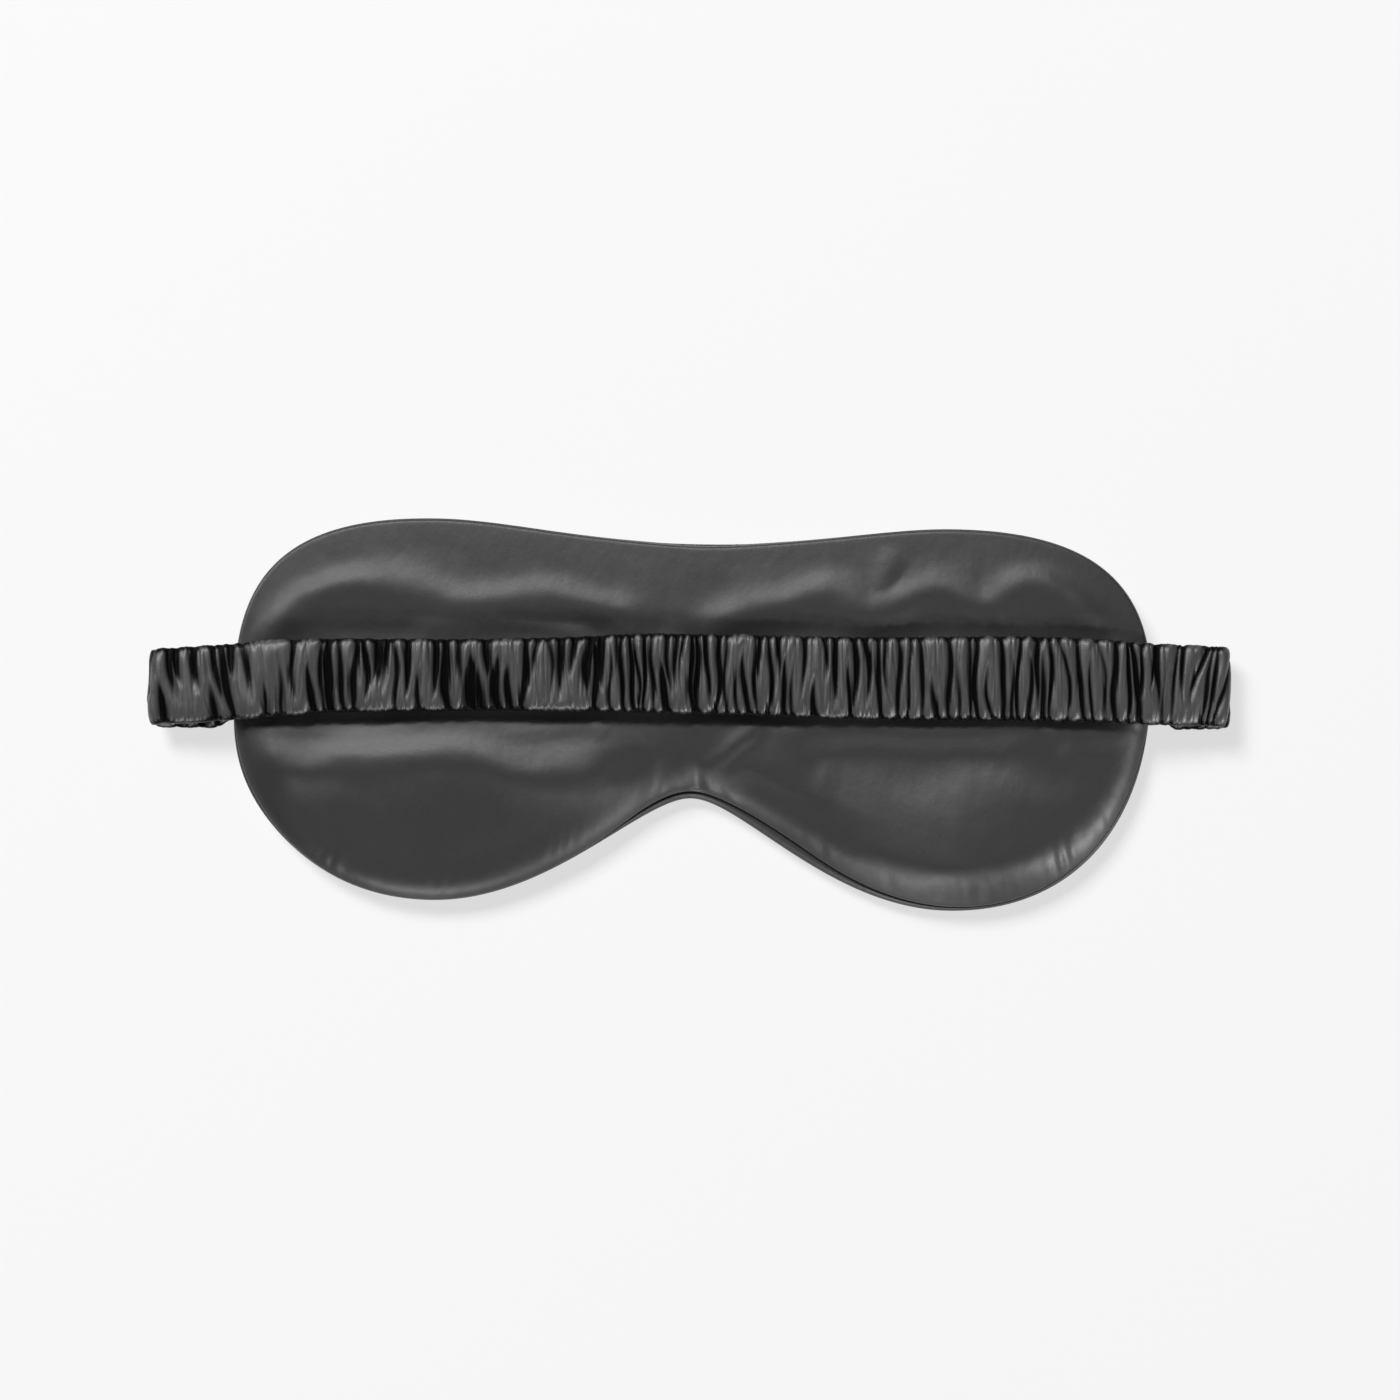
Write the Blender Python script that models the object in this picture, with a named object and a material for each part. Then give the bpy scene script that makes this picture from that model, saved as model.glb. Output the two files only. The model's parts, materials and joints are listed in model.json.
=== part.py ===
"""Padded satin sleep mask lying face side up, with its gathered strap folded back across it."""

import math

import bmesh
import bpy
from mathutils import Matrix, Vector
from mathutils.geometry import interpolate_bezier

# Outline of the mask, right half, seen from the face side. All sizes are in metres.
HALF_WIDTH = 0.1050  # centre line to the side seam
BODY_HEIGHT = 0.0875  # brow edge over the eye to the cheek edge under it
SIDE_Y = 0.0065  # widest point, above the middle of the body
BROW_DIP = 0.0044  # brow edge on the centre line, below its height over the eye
NOTCH_DEPTH = 0.0246  # nose notch, above the cheek edge
EYE_X = 0.0595  # highest and lowest points of each lobe, from the centre line

# Reach of the outline's handles, as shares of the span between its knots
DIP_REACH = 0.48
BROW_REACH = 0.28
TEMPLE_REACH = 0.72
SIDE_UP_REACH = 0.67
SIDE_DOWN_REACH = 0.58
CHEEK_REACH = 0.64
NOSE_SLOPE_REACH = 0.46
NOTCH_REACH = 0.19
OUTLINE_STEPS = 10  # facets on each of the four curves of the half outline

# Layers of the padded body
CLOTH = 0.0005  # satin with its seam pressed
FIT_GAP = 0.0003
FRONT_RIM_Z = 0.0032  # underside of the seam above the table
FRONT_ROLL = 0.0130  # width of the rolled edge of the outer panel
FRONT_FULLNESS = 2.2
LINING_RISE = 0.0040  # crown of the face side above the seam
LINING_ROLL = 0.0180
LINING_FULLNESS = 3.2
SEAM_ALLOWANCE = 0.0060  # cloth turned in along the seam
EDGE_FOLD = 0.0016  # depth of the fold inside the rim
LINING_FACETS = 4  # facets on each rolled edge
FRONT_FACETS = 4
STATION_SPREAD = 1.5
INTERLINING = 0.0004
SEAM_THREAD = 0.0006
SEAM_THREAD_INSET = 0.0012

# The strap: a gathered satin tube with a flat elastic inside
STRAP_WIDTH = 0.0180
STRAP_THICKNESS = 0.0034
STRAP_Y = 0.0064  # height of the sewn strap ends
STRAP_BOW = 0.0026  # rise of the strap's middle above its ends, as it lies
STRAP_OVERHANG = 0.0194  # fold beyond the side seam
STRAP_BEND_X = 0.0580  # where the lying strap begins to bend when lifted
RAMP_OUT = 0.0130  # where the upper layer starts to climb, outside the rim
RAMP_IN = 0.0110  # where it reaches the crown, inside the rim
SEAM_STANDOFF = 0.0009
BEND_GAP = 0.0007
BIGHT_REACH = 0.0032  # rounding of the outer fold
END_SHARE = 0.55  # thickness left at the end of a length, as a share of the whole
END_STEP = 0.35  # second station of a rounded end, as a share of its reach
GATHER_PITCH = 0.0046
GATHER_DEPTH = 0.36  # depth of a crease as a share of half the thickness
SHALLOWEST_GATHER = 0.5  # least crease, as a share of the deepest
SHOULDER_DEPTH = 0.12  # depth left at the shoulder of a crease, as a share of the deepest
CREASE_REACH = 0.22  # bottom of a crease to its shoulder, as a share of the pitch
CREASE_WANDER = 0.12  # shift of a crease from its even place, as a share of the pitch
CREASE_LEAN = 0.10  # slant of a crease across the strap, as a share of the pitch
CREASE_DRAW_IN = 0.05  # width lost at a crease, as a share of the whole
FOLD_DRAW_IN = 0.14  # width lost with the thickness at a fold, as a share of the whole
WANDER_RATE = 2.4  # turns of the waves that make the creases unlike each other, in radians a crease
DEPTH_RATE = 3.7
LEAN_RATE = 1.9
SECTION_POINTS = 12
ELASTIC_WIDTH = 0.0130
ELASTIC_THICKNESS = 0.0008
TAB_WIDTH = 0.0150
TAB_THICKNESS = 0.0008
TAB_SHOWN = 0.0005  # sewn end left outside the rim

LAY_ANGLE = math.radians(-1.2)  # the mask lies slightly turned under its strap

# Heights and positions that follow from the sizes above
LOBE_TOP_Y = BODY_HEIGHT / 2
LOBE_BOTTOM_Y = -BODY_HEIGHT / 2
TOP_DIP_Y = LOBE_TOP_Y - BROW_DIP
NOTCH_Y = LOBE_BOTTOM_Y + NOTCH_DEPTH
SEAM_GROOVE = TAB_THICKNESS + 2 * FIT_GAP
SEAM_Z = FRONT_RIM_Z + CLOTH + SEAM_GROOVE / 2
LINING_RIM_Z = SEAM_Z + SEAM_GROOVE / 2 + CLOTH
LINING_TOP_Z = LINING_RIM_Z + LINING_RISE
CORE_INSET = SEAM_ALLOWANCE + 2 * FIT_GAP
HALF_STRAP = STRAP_THICKNESS / 2
SEAM_AXIS_X = HALF_WIDTH + SEAM_STANDOFF + HALF_STRAP
BIGHT_AXIS_X = HALF_WIDTH + STRAP_OVERHANG
BIGHT_AXIS_Z = SEAM_Z + HALF_STRAP + FIT_GAP / 2
FOLDED_Z = BIGHT_AXIS_Z + FIT_GAP / 2 + HALF_STRAP
CROWN_Z = LINING_TOP_Z + FIT_GAP + HALF_STRAP
BORE_HALF_WIDTH = ELASTIC_WIDTH / 2 + FIT_GAP
BORE_HALF_HEIGHT = ELASTIC_THICKNESS / 2 + FIT_GAP


def clear_scene():
    for item in list(bpy.data.objects):
        bpy.data.objects.remove(item, do_unlink=True)


def principled(name, colour, roughness, sheen):
    material = bpy.data.materials.new(name)
    material.use_nodes = True
    shader = material.node_tree.nodes["Principled BSDF"]
    shader.inputs["Base Color"].default_value = (*colour, 1.0)
    shader.inputs["Roughness"].default_value = roughness
    shader.inputs["Sheen Weight"].default_value = sheen
    return material


def new_empty(name, location, collection, parent=None):
    empty = bpy.data.objects.new(name, None)
    empty.empty_display_size = 0.01
    collection.objects.link(empty)
    empty.location = location
    if parent is not None:
        empty.parent = parent
        empty.location = Vector(location) - parent_origin(parent)
    return empty


def parent_origin(item):
    origin = Vector((0.0, 0.0, 0.0))
    while item is not None:
        origin += item.location
        item = item.parent
    return origin


def finish_mesh(name, bm, material, collection, parent):
    bmesh.ops.recalc_face_normals(bm, faces=bm.faces)
    mesh = bpy.data.meshes.new(name)
    bm.to_mesh(mesh)
    bm.free()
    mesh.materials.append(material)
    piece = bpy.data.objects.new(name, mesh)
    collection.objects.link(piece)
    piece.parent = parent
    mesh.transform(Matrix.Translation(-parent_origin(parent)))
    return piece


def skin(bm, ring_a, ring_b):
    count = len(ring_a)
    for i in range(count):
        j = (i + 1) % count
        bm.faces.new((ring_a[i], ring_a[j], ring_b[j], ring_b[i]))


def add_ring(bm, points):
    return [bm.verts.new(point) for point in points]


# The mask outline and the loops inside it


def mask_outline():
    top = LOBE_TOP_Y
    bottom = LOBE_BOTTOM_Y
    side = HALF_WIDTH - EYE_X
    side_up = SIDE_UP_REACH * (top - SIDE_Y)
    side_down = SIDE_DOWN_REACH * (bottom - SIDE_Y)
    knots = (
        ((0.0, TOP_DIP_Y), (0.0, 0.0), (DIP_REACH * EYE_X, 0.0)),
        ((EYE_X, top), (-BROW_REACH * EYE_X, 0.0), (TEMPLE_REACH * side, 0.0)),
        ((HALF_WIDTH, SIDE_Y), (0.0, side_up), (0.0, side_down)),
        ((EYE_X, bottom), (CHEEK_REACH * side, 0.0), (-NOSE_SLOPE_REACH * EYE_X, 0.0)),
        ((0.0, NOTCH_Y), (NOTCH_REACH * EYE_X, 0.0), (0.0, 0.0)),
    )
    right = []
    for (knot, _, leave), (target, arrive, _) in zip(knots, knots[1:]):
        start = Vector(knot)
        end = Vector(target)
        curve = interpolate_bezier(start, start + Vector(leave), end + Vector(arrive), end, OUTLINE_STEPS + 1)
        right.extend(point.to_2d() for point in curve[:-1])
    right.append(Vector((0.0, NOTCH_Y)))
    left = [Vector((-point.x, point.y)) for point in reversed(right[1:-1])]
    return right + left


def inset_loop(outline, inset):
    loop = []
    count = len(outline)
    for i, point in enumerate(outline):
        along = outline[(i + 1) % count] - outline[i - 1]
        inward = Vector((along.y, -along.x)).normalized()
        loop.append(point + inset * inward)
    return loop


def lining_outside(inset):
    left = 1.0 - min(inset / LINING_ROLL, 1.0)
    return LINING_RIM_Z + LINING_RISE * (1.0 - left**LINING_FULLNESS)


def front_outside(inset):
    left = 1.0 - min(inset / FRONT_ROLL, 1.0)
    return FRONT_RIM_Z * left**FRONT_FULLNESS


def lining_inside(inset):
    return lining_outside(inset) - CLOTH


def front_inside(inset):
    return front_outside(inset) + CLOTH


def swept_body(name, outline, profile, material, collection, parent):
    """Carries a section of (inset, height) stations round the outline and closes both ends flat."""
    bm = bmesh.new()
    rings = []
    for inset, height in profile:
        loop = inset_loop(outline, inset)
        rings.append(add_ring(bm, [(point.x, point.y, height) for point in loop]))
    for ring_a, ring_b in zip(rings, rings[1:]):
        skin(bm, ring_a, ring_b)
    bm.faces.new(rings[0])
    bm.faces.new(rings[-1])
    return finish_mesh(name, bm, material, collection, parent)


def stations(roll, facets):
    """Insets down a rolled edge, from the crown to just inside the rim, closer towards the rim."""
    return [EDGE_FOLD + (roll - EDGE_FOLD) * ((facets - i) / facets) ** STATION_SPREAD for i in range(facets)]


def lining_profile():
    """Crown, rolled edge, turned-in allowance, then the inner face of the same cloth."""
    outer = [(inset, lining_outside(inset)) for inset in stations(LINING_ROLL, LINING_FACETS)]
    allowance = [
        (0.0, LINING_RIM_Z),
        (0.0, LINING_RIM_Z - CLOTH),
        (SEAM_ALLOWANCE, LINING_RIM_Z - CLOTH),
        (SEAM_ALLOWANCE, LINING_RIM_Z),
        (EDGE_FOLD, LINING_RIM_Z),
    ]
    inner = [(inset, lining_inside(inset)) for inset in reversed(stations(LINING_ROLL, LINING_FACETS))]
    return outer + allowance + inner


def front_profile():
    """Flat bearing face, rolled edge, turned-in allowance, then the inner face of the same cloth."""
    outer = [(inset, front_outside(inset)) for inset in stations(FRONT_ROLL, FRONT_FACETS)]
    allowance = [
        (0.0, FRONT_RIM_Z),
        (0.0, FRONT_RIM_Z + CLOTH),
        (SEAM_ALLOWANCE, FRONT_RIM_Z + CLOTH),
        (SEAM_ALLOWANCE, FRONT_RIM_Z),
        (EDGE_FOLD, FRONT_RIM_Z),
    ]
    inner = [(inset, front_inside(inset)) for inset in reversed(stations(FRONT_ROLL, FRONT_FACETS))]
    return outer + allowance + inner


def interlining_under(inset):
    return front_inside(inset) + FIT_GAP


def interlining_over(inset):
    return interlining_under(inset) + INTERLINING


def interlining_profile():
    insets = (FRONT_ROLL, (CORE_INSET + FRONT_ROLL) / 2, CORE_INSET)
    under = [(inset, interlining_under(inset)) for inset in insets]
    over = [(inset, interlining_over(inset)) for inset in reversed(insets)]
    return under + over


def wadding_profile():
    insets = (FRONT_ROLL, (CORE_INSET + FRONT_ROLL) / 2, CORE_INSET)
    under = [(inset, interlining_over(inset) + FIT_GAP) for inset in insets]
    upper = (CORE_INSET, (CORE_INSET + LINING_ROLL) / 2, LINING_ROLL)
    over = [(inset, lining_inside(inset) - FIT_GAP) for inset in upper]
    return under + over


def seam_thread(name, points, material, collection, parent):
    """One run of the seam's stitching, as a round thread between the two panels."""
    curve = bpy.data.curves.new(name, "CURVE")
    curve.dimensions = "3D"
    curve.bevel_depth = SEAM_THREAD / 2
    curve.bevel_resolution = 1
    curve.use_fill_caps = True
    spline = curve.splines.new("POLY")
    spline.points.add(len(points) - 1)
    for knot, point in zip(spline.points, points):
        knot.co = (point.x, point.y, SEAM_Z, 1.0)
    shape = bpy.data.objects.new(name + "_path", curve)
    bm = bmesh.new()
    bm.from_mesh(shape.to_mesh())
    shape.to_mesh_clear()
    bpy.data.objects.remove(shape)
    bpy.data.curves.remove(curve)
    bmesh.ops.remove_doubles(bm, verts=bm.verts, dist=0.00001)
    return finish_mesh(name, bm, material, collection, parent)


def lying_height(point):
    return point.x * math.sin(LAY_ANGLE) + point.y * math.cos(LAY_ANGLE)


# The strap


def smooth(share):
    share = min(max(share, 0.0), 1.0)
    return share * share * (3.0 - 2.0 * share)


def upper_layer_z(x):
    climb = smooth((HALF_WIDTH + RAMP_OUT - abs(x)) / (RAMP_OUT + RAMP_IN))
    return FOLDED_Z + climb * (CROWN_Z - FOLDED_Z)


def lower_layer_z(x):
    return SEAM_Z


def strap_y(x):
    return STRAP_Y + STRAP_BOW * (1.0 - min(abs(x) / BIGHT_AXIS_X, 1.0) ** 2)


def rounding(distance, reach):
    """Share of the full thickness left at a distance from the end of a length."""
    away = 1.0 - min(distance / reach, 1.0)
    return END_SHARE + (1.0 - END_SHARE) * math.sqrt(1.0 - away * away)


class Length:
    """One length of the folded strap between two of its folds or bends."""

    def __init__(self, start, end, layer, fold_side, phase):
        self.start = start
        self.end = end
        self.layer = layer
        self.fold_side = fold_side  # +1 or -1 where the outer fold lies above or below, 0 for none
        self.phase = phase

    def fold_distance(self, x):
        return BIGHT_AXIS_X - FIT_GAP / 2 - abs(x)

    def thickness_share(self, x):
        inner = min(abs(x - self.start), abs(x - self.end))
        if self.fold_side == 0:
            return rounding(inner, HALF_STRAP)
        other = self.start if abs(self.start) < abs(self.end) else self.end
        fold = rounding(max(self.fold_distance(x), 0.0), BIGHT_REACH)
        return min(fold, rounding(abs(x - other), HALF_STRAP))

    def centre(self, x):
        height = self.layer(x)
        if self.fold_side != 0:
            lost = 1.0 - rounding(max(self.fold_distance(x), 0.0), BIGHT_REACH)
            height += self.fold_side * lost * HALF_STRAP
        return Vector((x, strap_y(x), height))

    def slope(self, x):
        step = 0.0005
        return math.atan2(self.layer(x + step) - self.layer(x - step), 2 * step)

    def end_margins(self):
        start_fold = self.fold_side != 0 and abs(self.start) > abs(self.end)
        end_fold = self.fold_side != 0 and not start_fold
        first = BIGHT_REACH if start_fold else HALF_STRAP
        last = BIGHT_REACH if end_fold else HALF_STRAP
        return first, last

    def stations(self):
        """Stations (x, crease share, lean) along the gathered cover, from start to end."""
        first, last = self.end_margins()
        begin = self.start + first
        length = self.end - last - begin
        count = max(1, round(length / GATHER_PITCH))
        pitch = length / count
        found = [(self.start, 0.0, 0.0), (self.start + END_STEP * first, 0.0, 0.0)]
        for i in range(count):
            turn = i + self.phase
            crease = begin + pitch * (i + 0.5 + CREASE_WANDER * math.sin(WANDER_RATE * turn))
            shallow = (1.0 - math.sin(DEPTH_RATE * turn)) / 2
            depth = 1.0 - (1.0 - SHALLOWEST_GATHER) * shallow
            lean = CREASE_LEAN * pitch * math.sin(LEAN_RATE * turn)
            found.append((crease - CREASE_REACH * pitch, SHOULDER_DEPTH, lean))
            found.append((crease, depth, lean))
            found.append((crease + CREASE_REACH * pitch, 0.0, lean))
        found.append((self.end - END_STEP * last, 0.0, 0.0))
        found.append((self.end, 0.0, 0.0))
        return found

    def inner_stations(self):
        """Stations along the straight inner channel: close at the ends, even between them."""
        first, last = self.end_margins()
        begin = self.start + first
        length = self.end - last - begin
        count = max(2, math.ceil(length / (2 * GATHER_PITCH)))
        inside = [begin + length * i / count for i in range(count + 1)]
        return [self.start, self.start + END_STEP * first] + inside + [self.end - END_STEP * last, self.end]

    def section(self, x, half_width, half_height, lean):
        centre = self.centre(x)
        slope = self.slope(x)
        points = []
        for k in range(SECTION_POINTS):
            angle = math.tau * (k + 0.5) / SECTION_POINTS
            across = math.copysign(math.sqrt(abs(math.cos(angle))), math.cos(angle))
            up = math.copysign(math.sqrt(abs(math.sin(angle))), math.sin(angle))
            lift = up * half_height
            points.append(
                (
                    centre.x - lift * math.sin(slope) + lean * across,
                    centre.y + across * half_width,
                    centre.z + lift * math.cos(slope),
                )
            )
        return points

    def cover(self, bm):
        """The gathered tube: outer skin, inner channel and the two open ends."""
        outer = []
        for x, crease, lean in self.stations():
            share = self.thickness_share(x)
            half_height = HALF_STRAP * min(share, 1.0 - GATHER_DEPTH * crease)
            drawn_in = FOLD_DRAW_IN * (1.0 - share) + CREASE_DRAW_IN * crease
            half_width = STRAP_WIDTH / 2 * (1.0 - drawn_in)
            outer.append(add_ring(bm, self.section(x, half_width, half_height, lean)))
        inner = []
        for x in self.inner_stations():
            inner.append(add_ring(bm, self.section(x, BORE_HALF_WIDTH, BORE_HALF_HEIGHT, 0.0)))
        for rings in (outer, inner):
            for ring_a, ring_b in zip(rings, rings[1:]):
                skin(bm, ring_a, ring_b)
        skin(bm, outer[0], inner[0])
        skin(bm, outer[-1], inner[-1])

    def elastic(self, bm):
        """The flat elastic inside this length of the tube."""
        rings = []
        for x in self.inner_stations()[1:-1]:
            centre = self.centre(x)
            slope = self.slope(x)
            corners = []
            for across, up in ((1, 1), (-1, 1), (-1, -1), (1, -1)):
                lift = up * ELASTIC_THICKNESS / 2
                y = centre.y + across * ELASTIC_WIDTH / 2
                corners.append((centre.x - lift * math.sin(slope), y, centre.z + lift * math.cos(slope)))
            rings.append(add_ring(bm, corners))
        for ring_a, ring_b in zip(rings, rings[1:]):
            skin(bm, ring_a, ring_b)
        bm.faces.new(rings[0])
        bm.faces.new(rings[-1])


def strap_lengths():
    """The five lengths of the strap, left to right, each with the name of the fold it turns on."""
    seam_end = SEAM_AXIS_X - HALF_STRAP * math.sqrt(1.0 - END_SHARE**2)
    fold_end = BIGHT_AXIS_X - FIT_GAP / 2
    bend = STRAP_BEND_X
    half_gap = BEND_GAP / 2
    return (
        ("left_end", "left_seam_axis", Length(-fold_end, -seam_end, lower_layer_z, 1, 0.3)),
        ("left", "left_fold_axis", Length(-fold_end, -bend - half_gap, upper_layer_z, -1, 1.7)),
        ("middle", "left_bend_axis", Length(-bend + half_gap, bend - half_gap, upper_layer_z, 0, 4.1)),
        ("right", "right_bend_axis", Length(bend + half_gap, fold_end, upper_layer_z, -1, 6.6)),
        ("right_end", "right_fold_axis", Length(seam_end, fold_end, lower_layer_z, 1, 9.2)),
    )


def sewn_end(name, side, material, collection, parent):
    """Flattened end of the strap, caught between the two panels at the side seam."""
    inner = HALF_WIDTH - SEAM_ALLOWANCE
    outer = HALF_WIDTH + TAB_SHOWN
    bm = bmesh.new()
    size = Matrix.Diagonal((outer - inner, TAB_WIDTH, TAB_THICKNESS, 1.0))
    place = Matrix.Translation((side * (outer + inner) / 2, STRAP_Y, SEAM_Z))
    bmesh.ops.create_cube(bm, size=1.0, matrix=place @ size)
    edges = [edge for edge in bm.edges if abs(edge.verts[0].co.y - edge.verts[1].co.y) > TAB_WIDTH / 2]
    bmesh.ops.bevel(bm, geom=edges, offset=TAB_THICKNESS / 4, segments=2, affect="EDGES")
    return finish_mesh(name, bm, material, collection, parent)


def build():
    clear_scene()
    parts = bpy.data.collections.new("sleep_mask")
    bpy.context.scene.collection.children.link(parts)

    satin = principled("charcoal_satin", (0.055, 0.055, 0.056), 0.38, 0.25)
    padding = principled("white_wadding", (0.80, 0.79, 0.76), 0.95, 0.1)
    blackout = principled("black_interlining", (0.012, 0.012, 0.013), 0.85, 0.0)
    rubber = principled("black_elastic", (0.025, 0.025, 0.026), 0.75, 0.05)
    stitching = principled("charcoal_thread", (0.045, 0.045, 0.046), 0.6, 0.1)

    body = new_empty("mask_axis", (0.0, 0.0, 0.0), parts)
    body.rotation_euler = (0.0, 0.0, LAY_ANGLE)
    outline = mask_outline()
    swept_body("front_panel", outline, front_profile(), satin, parts, body)
    swept_body("blackout_interlining", outline, interlining_profile(), blackout, parts, body)
    swept_body("wadding", outline, wadding_profile(), padding, parts, body)
    swept_body("lining_panel", outline, lining_profile(), satin, parts, body)

    stitch_line = inset_loop(outline, SEAM_THREAD_INSET)
    clear = TAB_WIDTH / 2 + SEAM_THREAD + FIT_GAP
    start = next(i for i, p in enumerate(stitch_line) if lying_height(p) < STRAP_Y + clear)
    turned = stitch_line[start:] + stitch_line[:start]
    brow = [point for point in turned if lying_height(point) > STRAP_Y + clear]
    cheek = [point for point in turned if lying_height(point) < STRAP_Y - clear]
    seam_thread("seam_thread_brow", brow, stitching, parts, body)
    seam_thread("seam_thread_cheek", cheek, stitching, parts, body)

    strap = new_empty("strap_axis", (0.0, 0.0, 0.0), parts)
    sewn_end("strap_sewn_end_left", -1.0, satin, parts, strap)
    sewn_end("strap_sewn_end_right", 1.0, satin, parts, strap)

    axes = (
        ("left_seam_axis", -SEAM_AXIS_X, SEAM_Z),
        ("left_fold_axis", -BIGHT_AXIS_X, BIGHT_AXIS_Z),
        ("left_bend_axis", -STRAP_BEND_X, CROWN_Z),
        ("right_bend_axis", STRAP_BEND_X, CROWN_Z),
        ("right_fold_axis", BIGHT_AXIS_X, BIGHT_AXIS_Z),
    )
    carrier = strap
    pivots = {}
    for name, x, z in axes:
        carrier = new_empty(name, (x, STRAP_Y, z), parts, carrier)
        pivots[name] = carrier

    for name, pivot, length in strap_lengths():
        bm = bmesh.new()
        length.cover(bm)
        finish_mesh("strap_cover_" + name, bm, satin, parts, pivots[pivot])
        bm = bmesh.new()
        length.elastic(bm)
        finish_mesh("strap_elastic_" + name, bm, rubber, parts, pivots[pivot])


build()
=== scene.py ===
"""Charcoal satin sleep mask, face side up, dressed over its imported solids.

Mesh code works in millimetres: x runs across the mask, y from its cheeks to its brow and z up
from the table. new_mesh turns them into metres.
"""

import json
import math

import bpy
import numpy as np
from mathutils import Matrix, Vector


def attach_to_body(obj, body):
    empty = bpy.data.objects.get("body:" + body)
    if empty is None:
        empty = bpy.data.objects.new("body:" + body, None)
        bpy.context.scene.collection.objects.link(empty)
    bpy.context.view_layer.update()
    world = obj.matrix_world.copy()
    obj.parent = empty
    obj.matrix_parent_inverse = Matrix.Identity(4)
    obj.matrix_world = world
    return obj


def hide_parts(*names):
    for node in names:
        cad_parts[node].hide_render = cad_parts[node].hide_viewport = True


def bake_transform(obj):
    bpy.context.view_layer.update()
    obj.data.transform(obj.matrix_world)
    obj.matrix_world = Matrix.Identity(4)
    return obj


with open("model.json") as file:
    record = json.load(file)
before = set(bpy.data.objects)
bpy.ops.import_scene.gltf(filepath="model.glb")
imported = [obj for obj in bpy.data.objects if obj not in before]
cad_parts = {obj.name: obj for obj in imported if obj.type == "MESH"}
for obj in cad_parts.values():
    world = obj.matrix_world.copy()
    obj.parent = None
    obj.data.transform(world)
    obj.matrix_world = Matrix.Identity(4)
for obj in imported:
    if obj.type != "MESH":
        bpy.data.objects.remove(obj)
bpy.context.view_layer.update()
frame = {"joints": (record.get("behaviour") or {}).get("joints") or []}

MM = 0.001
TURN = 2 * math.pi

# Places of the joints; left and right are alike
JOINT = {joint["name"]: np.array(joint["pos_m"]) / MM for joint in frame["joints"]}
_, STRAP_Y, SEAM_Z = np.abs(JOINT["left_seam_hinge"])
FOLD_X, _, FOLD_Z = np.abs(JOINT["left_fold_hinge"])
BEND_X, _, CROWN_Z = np.abs(JOINT["left_bend_hinge"])

# Outline of the body, and how far it is turned as it lies
SIDE_X = 105.0
SIDE_Y = 6.5
EYE_X = 59.5
TOP_Y = 43.75
LOW_Y = -43.75
DIP_Y = 39.35
NOTCH_Y = -19.15
LEFT_CHEEK = 2.0
LAY = math.radians(-1.2)

# Handles of the outline's curves, as shares of a curve's width or height
BROW_HANDLES = (0.48, 0.72)
TEMPLE_HANDLES = (0.72, 0.67)
CHEEK_HANDLES = (0.58, 0.64)
NOSE_HANDLES = (0.54, 0.19)

# The body's rings close on a spine, a straight line under the strap
SPOKES = 400
SPINE_SHARE = 0.84
SPINE_Y = STRAP_Y + 1.0

# The panels' cloth, seam allowance and ease, and how far the core lies inside the rim
CLOTH = 0.18
ALLOWANCE = 6.0
CORE_INSET = 6.8

# The lining's rise from its seam, in a quick and a slow part, each with its reach, from cheek to brow
LINING_RIM = 5.6
QUICK_RISE = (3.1, 1.8)
QUICK_REACH = (3.6, 0.2)
SLOW_RISE = (0.9, 2.5)
SLOW_REACH = (9.0, 26.0)
BROW_FROM = -10.0
BROW_RUN = 22.0

# Folds of the lining: how far their lines stray, how they fade, and the banks below the strap
WANDER = 0.6
FADE = 10.0
LONG_LINE = 4 * FADE
SETTLED_FROM = 1.0
SETTLED_RUN = 9.0
CHEEK_Y = -13.0
CHEEK_SOFTNESS = 4.0
LEFT_BANK = 0.8
LEFT_SLOPE = 0.08
RIGHT_BANK = 0.8
RIGHT_SLOPE = 0.11
PUCKER_REACH = 9.0

# The lining under the strap: the level it is held to and the groove that is pressed in
UNDER_STRAP = 9.3
LEVEL_HALF = 18.0
LEVEL_RUN = 9.0
PRESSED = 0.7
GROOVE_HALF = 8.5
GROOVE_REACH_ABOVE = 7.0
GROOVE_REACH_BELOW = 5.0
GROOVE_END_X = 106.0
GROOVE_END_RUN = 30.0

# The outer panel's underside and the layers that lie on it
FRONT_RIM = 3.0
FRONT_ROLL = 13.0
FRONT_CREST = 4.15
CREST_RISE = 0.45
FULL_PEEK = 1.5
FRONT_WAVE = 0.10
FRONT_UNEVEN = 0.05
INTERLINING_OVER = 0.75
INTERLINING_CLOTH = 0.25
WADDING_OVER = 1.05
WADDING_UNDER = 0.75
WADDING_BULGE = 0.4

# The strap: its places along x, its section and its cut
LEFT_TIP = 125.3
RIGHT_TIP = 123.5
TIP_GAP = 0.1
SEWN_X = 105.3
PIVOT_END_X = 106.9
TURN_RADIUS = FOLD_Z - SEAM_Z
HALF_WIDE = 9.0
HALF_TALL = 1.6
SQUARENESS = 3.4
ELASTIC_WIDE = 13.0
ELASTIC_HALF_TALL = 0.30
ELASTIC_SQUARENESS = 6.0
RIB_PITCH = 1.3
RIB_HEIGHT = 0.05

# How the strap rises over the body's edge and lies above or below the solids' line
CLIMB_X = 118.0
CLIMB_RUN = 24.0
LEFT_STAND_OFF = 1.2
RIGHT_STAND_OFF = -0.45
STAND_OFF_X = 5.0
STAND_OFF_RUN = 35.0
RETURN_X = 100.0
RETURN_Y = STRAP_Y - 0.5

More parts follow.
